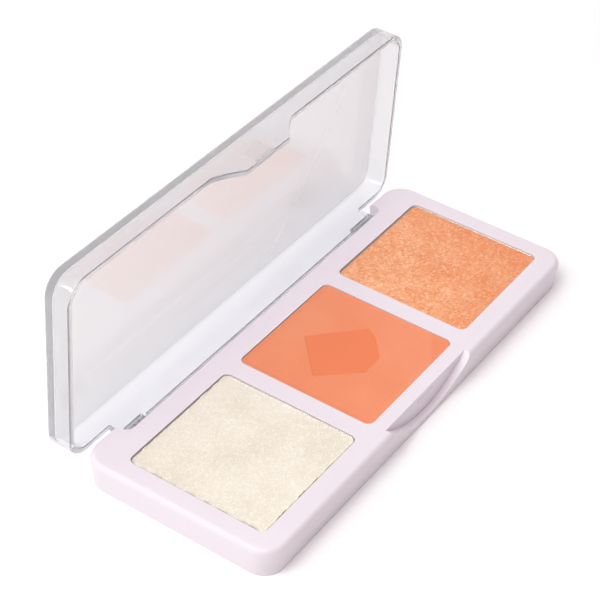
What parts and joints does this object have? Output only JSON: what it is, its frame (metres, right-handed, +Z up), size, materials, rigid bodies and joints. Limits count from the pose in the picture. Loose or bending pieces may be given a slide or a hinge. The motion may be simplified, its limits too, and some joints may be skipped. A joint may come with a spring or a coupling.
{
  "type": "face powder palette",
  "caption": "Slim rectangular powder palette with a row of square pans, a thumb notch and a clear lid hinged along its back edge, standing open.",
  "frame": {"origin": "middle of the tray's flat underside", "axes": "+X from the cream pan to the copper pan, +Y from the thumb notch to the hinge, +Z up"},
  "size_m": [0.121, 0.0562, 0.0502],
  "materials": {
    "case": "satin moulded, pale lilac pink",
    "cover": "satin moulded, pale lilac pink",
    "pan": "pressed sheet",
    "cream_powder": "pressed shimmer powder",
    "coral_powder": "pressed matte powder",
    "copper_powder": "pressed glitter powder",
    "adhesive": "soft double-sided pad",
    "pin": "drawn wire",
    "clear_lid": "polished clear moulding"
  },
  "bodies": {
    "base": {"tray": "case", "bottom_cover": "cover", "pan_left": "pan", "pan_middle": "pan", "pan_right": "pan", "powder_left": "cream_powder", "powder_middle": "coral_powder", "powder_right": "copper_powder", "pan_pads": "adhesive", "hinge_pins": "pin"},
    "cover_lid": {"lid": "clear_lid"}
  },
  "joints": [
    {"name": "lid_hinge", "type": "hinge", "parent": "base", "child": "cover_lid", "pos_m": [0, 0.0224, 0.0038], "axis": [-1, 0, 0], "range_deg": [-89, 17]}
  ]
}
